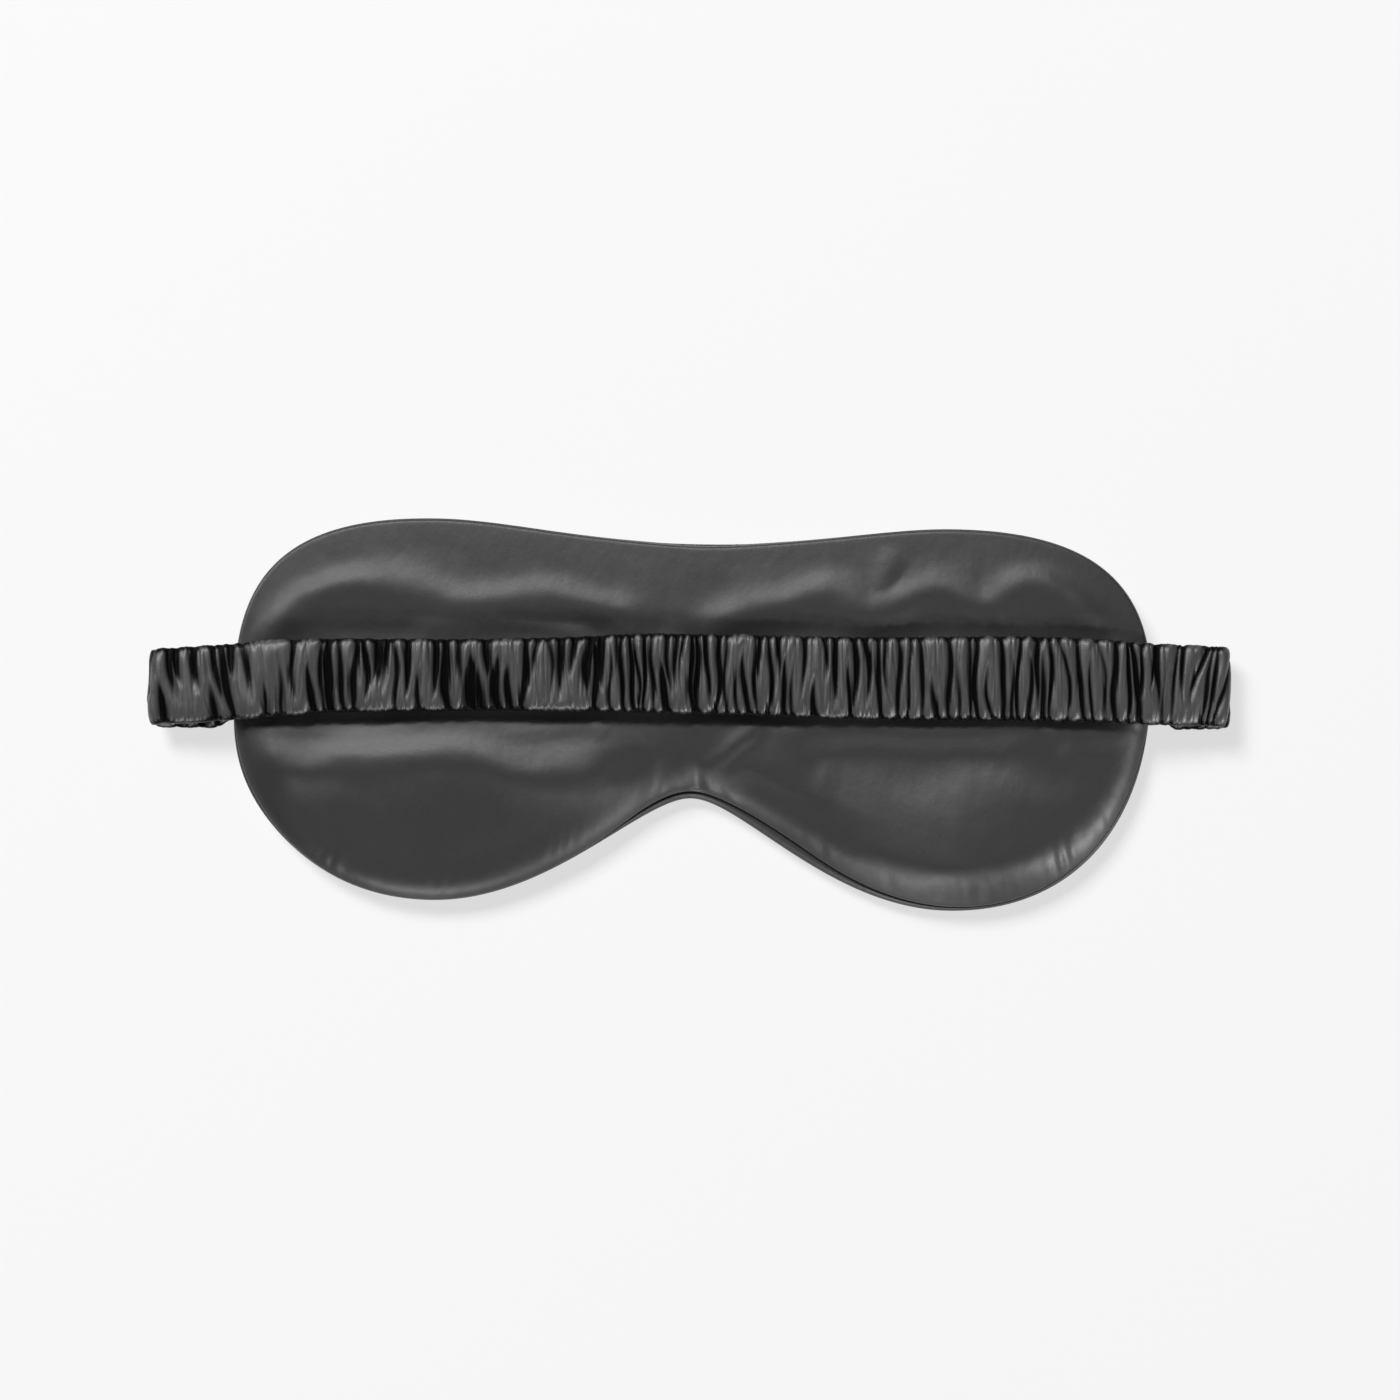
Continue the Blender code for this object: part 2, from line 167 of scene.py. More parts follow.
# The gathers: height of puffs, depth and pace of creases, and the tube's flattened, drawn-in ends
PUFF = 0.45
CREASE = 1.45
DEEPEST = 0.95
CREASE_REACH = 8.0
CREASE_PLACES = (-26, -16, 24, 31)
CREASE_PACES = (2.9, 1.75, 1.75, 2.3)
DOUBLED_X = 103.0
DOUBLED_RUN = 3.0
DOUBLED_DROP = 0.36
CALM_REACH = 3.4
CALM_RUN = 4.0
END_RUN = 4.5
END_FLAT = 0.22
END_PINCH = 0.24
EDGE_SWELL = 0.35
# Painted shade on the strap: width of the darkened band along its edges, how dark it is painted at the upper
# and lower edge, and on the fine folds
EDGE_SHADE_WIDE = 1.3
UPPER_SHADE = 0.45
LOWER_SHADE = 0.5
FINE_SHADE = 0.6

# Stations of the strap's meshes
STATION = 0.20
BACK_POINTS = 60
TURN_POINTS = 40
OVER_POINTS = 400
AROUND = 56
RIBBON_AROUND = 40
RIBBON_STEP = 3
SOFTENING = 25

# The strap's ends, caught in the side seams
TAB_X = 99.0
TAB_HALF = 7.3
TAB_LAP = 0.1
TAB_ROWS = 14
TAB_COLUMNS = 60
PLEAT_PITCH = 2.4
PLEAT_HEIGHT = 0.16
PLEAT_X = 97.0
PLEAT_RUN = 6.0

# Stitches
STITCH = 2.6
STITCH_LENGTH = 1.9
STITCH_INSET = 0.9
STITCH_RADIUS = 0.13
STITCH_START = 1.0
STITCH_STOP = 3.0
BROW_STITCHES_ABOVE = 17.0
CHEEK_STITCHES_BELOW = -5.0
CLOSURE_X = (-3.0, -0.9, 1.3, 3.2, 5.4, 7.5, 9.6)
CLOSURE_SLANT = (0.5, -0.2, 0.4, 0.1, -0.3, 0.5, 0.2)
CLOSURE_HALF = 0.6
CLOSURE_LOW_Z = 4.75
CLOSURE_HIGH_Z = 5.75
CLOSURE_RADIUS = 0.20

# Camera and floor in metres, and light
VIEW_WIDE = 0.3203
VIEW_MIDDLE = (0.0016, 0.0035, 0.008)
LENS = 100.0
SENSOR = 36.0
AMBIENT = 0.02
FLOOR_SIZE = 8.0
FLOOR_GREY = 0.93
FLOOR_GLOW = 0.99
FLOOR_GLOW_SHARE = 0.70


def smooth(share):
    share = np.clip(share, 0.0, 1.0)
    return share * share * (3 - 2 * share)


def bump(distance, width):
    return np.exp(-0.5 * (distance / width) ** 2)


def ripples(x, y, length, seed, count=10):
    """Smooth random field of about unit size, made of plane waves of about one length."""
    rng = np.random.RandomState(seed)
    total = 0.0
    for _ in range(count):
        heading = rng.uniform(0, TURN)
        pace = TURN / (length * rng.uniform(0.7, 1.5))
        way = x * math.cos(heading) + y * math.sin(heading)
        total = total + np.sin(pace * way + rng.uniform(0, TURN))
    return total / math.sqrt(count / 2)


def ripples_along(place, length, seed):
    """The same along one line."""
    return ripples(place, 0 * place, length, seed)


# Mesh helpers


def new_mesh(name, points, faces, material):
    mesh = bpy.data.meshes.new(name)
    faces = [list(map(int, face)) for face in faces]
    mesh.from_pydata((np.asarray(points) * MM).tolist(), [], faces)
    mesh.materials.append(material)
    mesh.shade_smooth()
    piece = bpy.data.objects.new(name, mesh)
    bpy.context.scene.collection.objects.link(piece)
    return piece


def point_normals(points, quads):
    quads = np.asarray(quads)
    a, b, c, d = (points[quads[:, k]] for k in range(4))
    flat = np.cross(c - a, d - b)
    total = np.zeros_like(points)
    for k in range(4):
        np.add.at(total, quads[:, k], flat)
    return total / np.maximum(np.linalg.norm(total, axis=1), 1e-12)[:, None]


def thickened(points, quads, cloth):
    """A closed shell: the surface, a second one inside it and walls along its open edges."""
    quads = np.asarray(quads)
    count = len(points)
    inner = points - cloth * point_normals(points, quads)
    edges = np.concatenate([quads[:, [k, (k + 1) % 4]] for k in range(4)])
    there = edges[:, 0] * count + edges[:, 1]
    back = edges[:, 1] * count + edges[:, 0]
    a, b = edges[~np.isin(there, back)].T
    walls = np.column_stack([b, a, a + count, b + count])
    faces = np.concatenate([quads, quads[:, ::-1] + count, walls])
    return np.concatenate([points, inner]), faces


def tube_faces(rows, around):
    faces = []
    for i in range(rows - 1):
        for j in range(around):
            k = (j + 1) % around
            faces.append((i * around + j, i * around + k, (i + 1) * around + k, (i + 1) * around + j))
    return faces


def grid_faces(rows, columns):
    faces = []
    for i in range(rows - 1):
        for j in range(columns - 1):
            here = i * columns + j
            ahead = here + columns
            faces.append((here, ahead, ahead + 1, here + 1))
    return faces


def flipped(faces):
    return [tuple(reversed(face)) for face in faces]


def lengths_along(line):
    """Distance along a line at each of its points."""
    return np.concatenate([[0], np.cumsum(np.linalg.norm(np.diff(line, axis=0), axis=1))])


def line_offset(points, knots):
    """Distance of flat points from a line through knots, positive to the left of it."""
    best = np.full(len(points), np.inf)
    side = np.ones(len(points))
    for start, stop in zip(knots[:-1], knots[1:]):
        start = np.array(start, float)
        way = np.array(stop, float) - start
        gone = points - start
        share = np.clip(gone @ way / (way @ way), 0, 1)
        found = np.hypot(*(gone - share[:, None] * way).T)
        left = np.where(way[0] * gone[:, 1] - way[1] * gone[:, 0] >= 0, 1.0, -1.0)
        side = np.where(found < best, left, side)
        best = np.minimum(best, found)
    return best * side


def rounded(knots, count=40):
    """A smooth line through knots."""
    knots = np.array(knots, float)
    along = np.linspace(0, len(knots) - 1, count)
    i = np.clip(along.astype(int), 0, len(knots) - 2)
    t = (along - i)[:, None]
    before = knots[np.maximum(i - 1, 0)]
    after = knots[np.minimum(i + 2, len(knots) - 1)]
    a, b = knots[i], knots[i + 1]
    square = 2 * before - 5 * a + 4 * b - after
    cube = 3 * a - before - 3 * b + after
    return 0.5 * (2 * a + (b - before) * t + square * t**2 + cube * t**3)


# Materials


def shader(name):
    material = bpy.data.materials.new(name)
    material.use_nodes = True
    tree = material.node_tree
    return material, tree, tree.nodes["Principled BSDF"]


def add(tree, kind, **values):
    node = tree.nodes.new(kind)
    for key, value in values.items():
        if key in node.inputs:
            node.inputs[key].default_value = value
        else:
            setattr(node, key, value)
    return node


def noise(tree, scale, detail):
    """A noise texture stretched by scale along x, y and z."""
    place = add(tree, "ShaderNodeTexCoord")
    stretch = add(tree, "ShaderNodeMapping", Scale=scale)
    texture = add(tree, "ShaderNodeTexNoise", Scale=1.0, Detail=detail)
    tree.links.new(place.outputs["Object"], stretch.inputs["Vector"])
    tree.links.new(stretch.outputs["Vector"], texture.inputs["Vector"])
    return texture.outputs["Fac"]


def mixed(tree, factor, first, second, socket):
    """Leads a mix of two colours to a socket; each is a colour or another node's output."""
    mix = add(tree, "ShaderNodeMix", data_type="RGBA")
    tree.links.new(factor, mix.inputs["Factor"])
    for end, colour in (("A", first), ("B", second)):
        if isinstance(colour, tuple):
            mix.inputs[end].default_value = (*colour, 1)
        else:
            tree.links.new(colour, mix.inputs[end])
    tree.links.new(mix.outputs["Result"], socket)


def ranged(tree, factor, low, high, socket):
    spread = add(tree, "ShaderNodeMapRange")
    spread.inputs["To Min"].default_value = low
    spread.inputs["To Max"].default_value = high
    tree.links.new(factor, spread.inputs["Value"])
    tree.links.new(spread.outputs["Result"], socket)


def bumped(tree, bsdf, height, strength, distance):
    """Adds a bump on top of any bump that the shader has."""
    node = add(tree, "ShaderNodeBump", Strength=strength, Distance=distance)
    tree.links.new(height, node.inputs["Height"])
    for link in bsdf.inputs["Normal"].links:
        tree.links.new(link.from_socket, node.inputs["Normal"])
    tree.links.new(node.outputs["Normal"], bsdf.inputs["Normal"])


def satin(name, dark, light, tint, roughness, threads):
    """Warp-faced satin: an uneven tint, fine floats along one direction and a low sheen."""
    material, tree, bsdf = shader(name)
    mottle = noise(tree, tint, detail=3.0)
    cloud = noise(tree, (420.0, 300.0, 350.0), detail=3.0)
    weave = noise(tree, threads, detail=2.0)
    mixed(tree, mottle, dark, light, bsdf.inputs["Base Color"])
    ranged(tree, weave, roughness - 0.05, roughness + 0.05, bsdf.inputs["Roughness"])
    bumped(tree, bsdf, cloud, strength=0.35, distance=0.0002)
    bumped(tree, bsdf, weave, strength=0.12, distance=0.00003)
    bsdf.inputs["Specular IOR Level"].default_value = 1.0
    bsdf.inputs["Sheen Weight"].default_value = 0.05
    bsdf.inputs["Sheen Roughness"].default_value = 0.35
    return material


def paint_crease_shade(material):
    """Paints shade into a satin's creases and along its edges, where little light gets in: a darker colour
    and a dimmer gloss.
    """
    tree = material.node_tree
    bsdf = tree.nodes["Principled BSDF"]
    drawn = add(tree, "ShaderNodeAttribute", attribute_name="painted_crease_shade")
    deep = add(tree, "ShaderNodeMapRange", interpolation_type="SMOOTHSTEP")
    deep.inputs["From Min"].default_value = 0.30
    deep.inputs["From Max"].default_value = 0.72
    tree.links.new(drawn.outputs["Fac"], deep.inputs["Value"])
    colour = bsdf.inputs["Base Color"]
    face = colour.links[0].from_socket
    # Painted shade: near-black colour and dimmed gloss where the strap's shade attribute is high
    mixed(tree, deep.outputs["Result"], face, (0.002, 0.002, 0.002), colour)
    mixed(tree, deep.outputs["Result"], (1, 1, 1), (0.05, 0.05, 0.05), bsdf.inputs["Specular Tint"])


def fibre(name, dark, light, roughness, scale, strength):
    """Matt cloth or thread with a fibrous bump."""
    material, tree, bsdf = shader(name)
    grain = noise(tree, scale, detail=4.0)
    mixed(tree, grain, dark, light, bsdf.inputs["Base Color"])
    ranged(tree, grain, roughness - 0.08, roughness + 0.08, bsdf.inputs["Roughness"])
    bumped(tree, bsdf, grain, strength, distance=0.0002)
    bsdf.inputs["Sheen Weight"].default_value = 0.2
    return material


SATIN = satin(
    "charcoal_satin",
    dark=(0.016, 0.016, 0.017),
    light=(0.022, 0.022, 0.023),
    tint=(55.0, 55.0, 55.0),
    roughness=0.47,
    threads=(900.0, 5200.0, 3000.0),
)
# The strap's colour runs in fine streaks across it, from near black to light grey: partly an uneven tint,
# partly painted sheen of its fine folds
STRAP_SATIN = satin(
    "gathered_satin",
    dark=(0.016, 0.016, 0.017),
    light=(0.100, 0.100, 0.101),
    tint=(1500.0, 130.0, 400.0),
    roughness=0.42,
    threads=(5200.0, 900.0, 3000.0),
)
paint_crease_shade(STRAP_SATIN)
WADDING = fibre(
    "white_wadding",
    dark=(0.62, 0.61, 0.58),
    light=(0.82, 0.81, 0.78),
    roughness=0.9,
    scale=(700.0, 700.0, 1400.0),
    strength=0.6,
)
BLACKOUT = fibre(
    "black_interlining",
    dark=(0.008, 0.008, 0.009),
    light=(0.016, 0.016, 0.017),
    roughness=0.8,
    scale=(2600.0, 2600.0, 2600.0),
    strength=0.3,
)
ELASTIC = fibre(
    "black_elastic",
    dark=(0.014, 0.014, 0.015),
    light=(0.032, 0.032, 0.033),
    roughness=0.7,
    scale=(700.0, 4200.0, 4200.0),
    strength=0.5,
)
THREAD = fibre(
    "black_thread",
    dark=(0.008, 0.008, 0.008),
    light=(0.020, 0.020, 0.021),
    roughness=0.6,
    scale=(4000.0, 4000.0, 4000.0),
    strength=0.4,
)

# The body: an outline, rings inside it and a spine that the rings close on


def bezier(p0, p1, p2, p3, count=160):
    t = np.linspace(0, 1, count)[:, None]
    p0, p1, p2, p3 = (np.array(p, float) for p in (p0, p1, p2, p3))
    return (1 - t) ** 3 * p0 + 3 * (1 - t) ** 2 * t * p1 + 3 * (1 - t) * t * t * p2 + t**3 * p3


def half_outline():
    """The right half's upper and lower edges, both from the middle to the side."""
    side = SIDE_X - EYE_X
    near_dip, near_top = (share * EYE_X for share in BROW_HANDLES)
    brow = bezier((0, DIP_Y), (near_dip, DIP_Y), (near_top, TOP_Y), (EYE_X, TOP_Y))
    out = EYE_X + TEMPLE_HANDLES[0] * side
    up = SIDE_Y + TEMPLE_HANDLES[1] * (TOP_Y - SIDE_Y)
    temple = bezier((EYE_X, TOP_Y), (out, TOP_Y), (SIDE_X, up), (SIDE_X, SIDE_Y))
    down = SIDE_Y + CHEEK_HANDLES[0] * (LOW_Y - SIDE_Y)
    out = EYE_X + CHEEK_HANDLES[1] * side
    cheek = bezier((SIDE_X, SIDE_Y), (SIDE_X, down), (out, LOW_Y), (EYE_X, LOW_Y))
    near_low, near_notch = (share * EYE_X for share in NOSE_HANDLES)
    nose = bezier((EYE_X, LOW_Y), (near_low, LOW_Y), (near_notch, NOTCH_Y), (0, NOTCH_Y))
    return np.concatenate([brow, temple[1:]]), np.concatenate([cheek, nose[1:]])[::-1]


def near(x, y, width):
    """How near each outline point is to a place, 0 to 1."""
    return bump(np.hypot(LOOP[:, 0] - x, LOOP[:, 1] - y), width)


UPPER, LOWER = half_outline()
SPOKE_X = SIDE_X * np.sin(np.linspace(-math.pi / 2, math.pi / 2, SPOKES + 1))
TOP_EDGE = np.column_stack([SPOKE_X, np.interp(np.abs(SPOKE_X), UPPER[:, 0], UPPER[:, 1])])
LOW_EDGE = np.column_stack([SPOKE_X, np.interp(np.abs(SPOKE_X), LOWER[:, 0], LOWER[:, 1])])
LOOP = np.concatenate([TOP_EDGE, LOW_EDGE[-2:0:-1]])
LOOP[:, 0] -= LEFT_CHEEK * near(-100, -15, 13)
TO_SPINE = np.concatenate([np.arange(SPOKES + 1), np.arange(SPOKES - 1, 0, -1)])
SPINE = np.column_stack([SPINE_SHARE * SPOKE_X, np.full(SPOKES + 1, SPINE_Y)])
TANGENT = np.roll(LOOP, -1, axis=0) - np.roll(LOOP, 1, axis=0)
TANGENT /= np.linalg.norm(TANGENT, axis=1)[:, None]
INWARD = np.column_stack([TANGENT[:, 1], -TANGENT[:, 0]])
ROUND = lengths_along(LOOP)

# Places where the outer panel rolls up to the face side: x, y, how far and over what width
ROLLS = (
    (20, -27, 2.2, 15),
    (48, -41, 0.9, 14),
    (85, -34, 0.7, 16),
    (102, -12, 0.5, 12),
    (-8, -20, 1.0, 9),
    (-99, -16, 0.6, 12),
    (2, 39, 0.6, 10),
)


def seam_inset():
    """How far the seam lies inside the rim at each point of the outline."""
    inset = -0.2 + 0.4 * smooth((4 - LOOP[:, 1]) / 12)
    for x, y, reach, width in ROLLS:
        inset = inset + reach * near(x, y, width)
    return inset


PEEK = seam_inset()


def depth_inside(points, batch=2000):
    """Distance of flat points from the outline."""
    way = np.roll(LOOP, -1, axis=0) - LOOP
    size = np.maximum((way**2).sum(1), 1e-9)
    found = np.empty(len(points))
    for i in range(0, len(points), batch):
        some = points[i : i + batch, None]
        share = np.clip(((some - LOOP) * way).sum(2) / size, 0, 1)
        apart = (LOOP + share[..., None] * way) - some
        found[i : i + batch] = np.sqrt((apart**2).sum(2).min(1))
    return found


def laid(points):
    """From the straight body to the way it lies: slightly turned."""
    c, s = math.cos(LAY), math.sin(LAY)
    out = np.array(points, float)
    out[:, 0] = c * points[:, 0] - s * points[:, 1]
    out[:, 1] = s * points[:, 0] + c * points[:, 1]
    return out


def ring(inset):
    return LOOP + INWARD * np.reshape(inset, (-1, 1))


def level_ring(inset, z):
    return np.column_stack([ring(inset), np.full(len(LOOP), z)])


def inner_rings(inset, count, crowd):
    """Rings from one near the rim to just short of the spine, closer towards the rim."""
    first = ring(inset)
    target = SPINE[TO_SPINE]
    shares = (np.arange(count) / count) ** crowd
    return [first + share * (target - first) for share in shares]


def on_rings(values, count):
    """Values of the outline's points, repeated for the points of rings and spine."""
    return np.concatenate([values] * count + [values[: SPOKES + 1]])


def ring_faces(rings):
    """Faces between rings, and from the last ring to the spine."""
    around = len(LOOP)
    faces = tube_faces(rings, around)
    last = (rings - 1) * around
    spine = rings * around
    for j in range(around):
        k = (j + 1) % around
        faces.append((last + j, last + k, spine + TO_SPINE[k], spine + TO_SPINE[j]))
    return faces


# Soft ridges of the face side: points along each, height, and width above and below it
RIDGES = (
    (
        [(-103, 10), (-100, 18), (-93, 25), (-86, 28.6), (-77, 30.2), (-67, 30), (-60, 28)]
        + [(-53, 25.8), (-46, 26), (-34, 27), (-27, 27), (-17, 23.5), (-7, 18)],
        0.84,
        2.6,
        3.2,
    ),
    ([(-66, 19), (-48, 18.5), (-32, 17.5), (-20, 17)], 0.60, 3.6, 3.0),
    (
        [(-2, 17), (6, 22), (18, 25), (29, 27), (37, 25.6), (42, 24.6), (48, 27)]
        + [(57, 28.4), (66, 25.8), (75, 29), (86, 27), (97, 20)],
        0.85,
        3.0,
        3.2,
    ),
    ([(45, 37), (43.6, 31), (44.4, 26)], 0.42, 2.2, 2.2),
    (
        [(-101, -3), (-95, -9.5), (-88, -11.8), (-80, -10.4), (-72, -11.4), (-64, -9.6), (-56, -8.4)]
        + [(-48, -10), (-41, -12.8), (-32, -13.8), (-23, -13.6), (-15, -11.5)],
        1.15,
        4.0,
        4.4,
    ),
    ([(-21.5, -3), (-21.3, -18)], 0.36, 1.4, 1.4),
    ([(2.5, -14.5), (6, -9.5), (13, -5)], 0.60, 1.8, 1.8),
    ([(3, -14.5), (16, -12.5), (28, -14)], 0.40, 3.2, 3.2),
)
# Hollows of the face side, written the same way, as depths
HOLLOWS = (
    ([(20, -8.5), (32, -10), (48, -10), (62, -9.5), (82, -8.5)], 0.90, 4.5, 5.0),
    ([(14, -17), (24, -23), (34, -29)], 0.60, 3.5, 3.5),
    ([(70, -31), (82, -28)], 0.35, 5.0, 5.0),
)
# Small puckers that the notch's tight curve draws in: points, height and width
PUCKERS = (
    ([(-0.6, -2), (0.3, -12), (1.1, -18.5)], -0.60, 0.9),
    ([(-4.4, -6), (-5.8, -18.5)], 0.42, 0.9),
    ([(-8.0, -8), (-10.4, -20)], 0.26, 1.0),
    ([(-2.0, -6), (-2.7, -18.5)], 0.26, 1.3),
    ([(2.8, -6), (4.4, -18.5)], 0.36, 0.9),
    ([(5.6, -8), (8.8, -20)], 0.22, 1.0),
)
# The strap as it lies across the face side: x, height of its middle and half its width
STRAP_LIE = (
    (-130, 6.4, 8.7),
    (-112, 7.2, 8.8),
    (-97, 8.3, 8.8),
    (-80, 9.1, 8.5),
    (-60, 9.2, 8.3),
    (-42, 9.25, 8.3),
    (-28, 9.5, 8.5),
    (-12, 9.6, 9.1),
    (8, 9.3, 9.25),
    (28, 8.7, 9.35),
    (50, 8.4, 9.55),
    (76, 8.35, 9.75),
    (92, 7.9, 9.6),
    (108, 7.0, 9.3),
    (130, 6.4, 9.1),
)
STRAP_CURVE = rounded(STRAP_LIE, 200)


def strap_middle(x):
    return np.interp(x, STRAP_CURVE[:, 0], STRAP_CURVE[:, 1])


def strap_half(x):
    return np.interp(x, STRAP_CURVE[:, 0], STRAP_CURVE[:, 2])


def draped(points, folds):
    """Heights of lines of folds over flat points; where they meet, the highest counts.

    Long lines fade at their ends.
    """
    total = np.zeros(len(points))
    for knots, rise, above, below in folds:
        offset = line_offset(points, rounded(knots))
        ends = [np.hypot(*(points - knots[k]).T) for k in (0, -1)]
        is_long = np.hypot(*np.subtract(knots[0], knots[-1])) > LONG_LINE
        share = smooth(np.minimum(*ends) / FADE) if is_long else 1.0
        width = np.where(offset > 0, above, below)
        total = np.maximum(total, share * rise * bump(offset, width))
    return total


def crown(y, inset):
    """Height of the padded body at a distance from its seam."""
    brow = smooth((y - BROW_FROM) / BROW_RUN)
    ends = (QUICK_RISE, QUICK_REACH, SLOW_RISE, SLOW_REACH)
    quick, quick_reach, slow, slow_reach = (low + brow * (high - low) for low, high in ends)
    height = LINING_RIM + quick * (1 - np.exp(-inset / quick_reach))
    return height + slow * (1 - np.exp(-inset / slow_reach))


def folds_of_face(flat):
    """Height of the face side's ridges, hollows, banks and unevenness."""
    x, y = flat.T
    stray = [WANDER * ripples(x, y, length=22, seed=seed) for seed in (41, 42)]
    strayed = flat + np.column_stack(stray)
    raised = draped(strayed, RIDGES) - draped(strayed, HOLLOWS)
    edge = CHEEK_Y + 2.5 * ripples_along(x, length=60, seed=14)
    below = CHEEK_SOFTNESS * np.log1p(np.exp((edge - y) / CHEEK_SOFTNESS))
    on_left = smooth((-8 - x) / 22)
    on_right = smooth((x - 12) / 22)
    raised = raised + on_left * (LEFT_BANK * smooth((-4 - y) / 10) - LEFT_SLOPE * below)
    raised = raised + on_right * (RIGHT_SLOPE * below - RIGHT_BANK * smooth((-2 - y) / 8))
    return raised + 0.05 * ripples(x, y, length=30, seed=3) + 0.02 * ripples(x, y, length=9, seed=4)


def seam_puckers(flat, inset, along):
    """Small waves that the stitching draws in beside the seam, most at the right cheek."""
    x, y = flat.T
    wave = np.sin(TURN * along / 5.4 + 2.2 * ripples_along(along, length=16, seed=5))
    uneven = np.clip(0.6 + 0.7 * ripples_along(along, length=19, seed=6), 0, 1.6)
    strength = 0.09 * bump(np.hypot(x - 92, y + 24), 22) + 0.05 * smooth((-20 - y) / 10)
    return strength * uneven * wave * bump(inset - 3.2, 1.8)


def held_by_strap(height, flat):
    """The height held to a level under the strap, with a shallow groove pressed into it."""
    x, y = flat.T
    across = np.abs(y - strap_middle(x)) + 0.8 * ripples_along(x, length=40, seed=15)
    inboard = smooth((GROOVE_END_X - np.abs(x)) / GROOVE_END_RUN)
    level = smooth((LEVEL_HALF - across) / LEVEL_RUN) * inboard
    height = height - level * np.maximum(height - UNDER_STRAP, 0)
    reach = np.where(y > strap_middle(x), GROOVE_REACH_ABOVE, GROOVE_REACH_BELOW)
    uneven = 0.75 + 0.35 * ripples_along(x, length=45, seed=12)
    return height - PRESSED * uneven * smooth((GROOVE_HALF + reach - across) / reach) * inboard


def lining_height(body, inset, along):
    """Height of the face side over points of the straight body.

    It is given their distance from the seam and their place round it.
    """
    flat = laid(body)
    settled = smooth((inset - SETTLED_FROM) / SETTLED_RUN)
    height = crown(body[:, 1], inset) + settled * folds_of_face(flat)
    height = height + seam_puckers(flat, inset, along)
    by_notch = smooth(inset / 1.2) * smooth((PUCKER_REACH - inset) / PUCKER_REACH)
    for knots, rise, width in PUCKERS:
        height = height + rise * by_notch * bump(line_offset(flat, knots), width)
    return held_by_strap(height, flat)


def lining_surface():
    """The face side's panel: its allowance, turned in at the seam, then rings up to the spine."""
    lip = [(ALLOWANCE, 4.90), (3.0, 4.88), (1.0, 4.84), (0.35, 4.82), (0.10, 4.90), (0.0, 5.10), (0.05, 5.40)]
    rows = [level_ring(PEEK + inset, z) for inset, z in lip]
    rings = inner_rings(PEEK + 0.18, count=54, crowd=1.7)
    flat = np.concatenate(rings + [SPINE])
    inset = depth_inside(flat) - on_rings(PEEK, len(rings))
    z = lining_height(flat, inset, on_rings(ROUND, len(rings)))
    points = np.concatenate(rows + [np.column_stack([flat, z])])
    return laid(points), ring_faces(len(rows) + len(rings))


def front_profile(inset):
    """Height of the outer panel's underside at a distance from the rim."""
    left = 1 - np.clip(inset / FRONT_ROLL, 0, 1)
    return FRONT_RIM * (1 - np.sqrt(1 - left**2.6))


def front_surface():
    """The outer panel: its allowance, the roll up to the seam, then rings under the body."""
    lip = [(ALLOWANCE, 3.90), (3.0, 3.93), (1.0, 3.97), (0.25, 4.0), (0.06, 4.05)]
    rows = [level_ring(PEEK + inset, z) for inset, z in lip]
    crest = FRONT_CREST + CREST_RISE * np.minimum(PEEK / FULL_PEEK, 1)
    for share in np.linspace(0.1, 1.0, 8):
        angle = share * math.pi / 2
        z = FRONT_RIM + (crest - FRONT_RIM) * math.cos(angle) ** 0.8
        rows.append(np.column_stack([ring(PEEK * (1 - math.sin(angle))), z]))
    rings = inner_rings(np.full(len(LOOP), 0.05), count=46, crowd=1.9)
    flat = np.concatenate(rings + [SPINE])
    inset = depth_inside(flat)
    along = on_rings(ROUND, len(rings))
    wave = np.sin(TURN * along / 6.1 + 1.5 * ripples_along(along, length=25, seed=8))
    uneven = np.clip(ripples(flat[:, 0], flat[:, 1], length=30, seed=9), -1, 1)
    z = front_profile(inset) + FRONT_WAVE * (1 + wave) * bump(inset - 4, 2.5)
    z = z + FRONT_UNEVEN * (1 + uneven) * smooth((inset - 8) / 12)
    points = np.concatenate(rows + [np.column_stack([flat, z])])
    return laid(points), ring_faces(len(rows) + len(rings))


def core_layer(count, crowd):
    """Flat points of a layer inside the seam allowance, their distance from the rim, and faces."""
    rings = inner_rings(np.full(len(LOOP), CORE_INSET), count, crowd)
    flat = np.concatenate(rings + [SPINE])
    return flat, depth_inside(flat), ring_faces(len(rings))


def make_lining():
    points, faces = lining_surface()
    return new_mesh("lining_satin", *thickened(points, flipped(faces), CLOTH), SATIN)


def make_front():
    points, faces = front_surface()
    return new_mesh("front_satin", *thickened(points, faces, CLOTH), SATIN)


def make_interlining():
    flat, inset, faces = core_layer(count=26, crowd=1.3)
    points = laid(np.column_stack([flat, front_profile(inset) + INTERLINING_OVER]))
    shell = thickened(points, flipped(faces), INTERLINING_CLOTH)
    return new_mesh("interlining_sheet", *shell, BLACKOUT)


def make_wadding():
    """The padding: two layers of the same rings, joined by a rounded side."""
    flat, inset, faces = core_layer(count=34, crowd=1.4)
    low = front_profile(inset) + WADDING_OVER
    high = lining_height(flat, inset, 0 * inset) - WADDING_UNDER
    around = len(LOOP)
    count = len(flat)
    middle = np.column_stack([ring(CORE_INSET - WADDING_BULGE), (low[:around] + high[:around]) / 2])
    points = np.concatenate([np.column_stack([flat, high]), np.column_stack([flat, low]), middle])
    sides = []
    for j in range(around):
        k = (j + 1) % around
        sides.append((j, k, 2 * count + k, 2 * count + j))
        sides.append((2 * count + j, 2 * count + k, count + k, count + j))
    lower = [tuple(count + i for i in face) for face in faces]
    return new_mesh("wadding_pad", laid(points), flipped(faces) + lower + sides, WADDING)
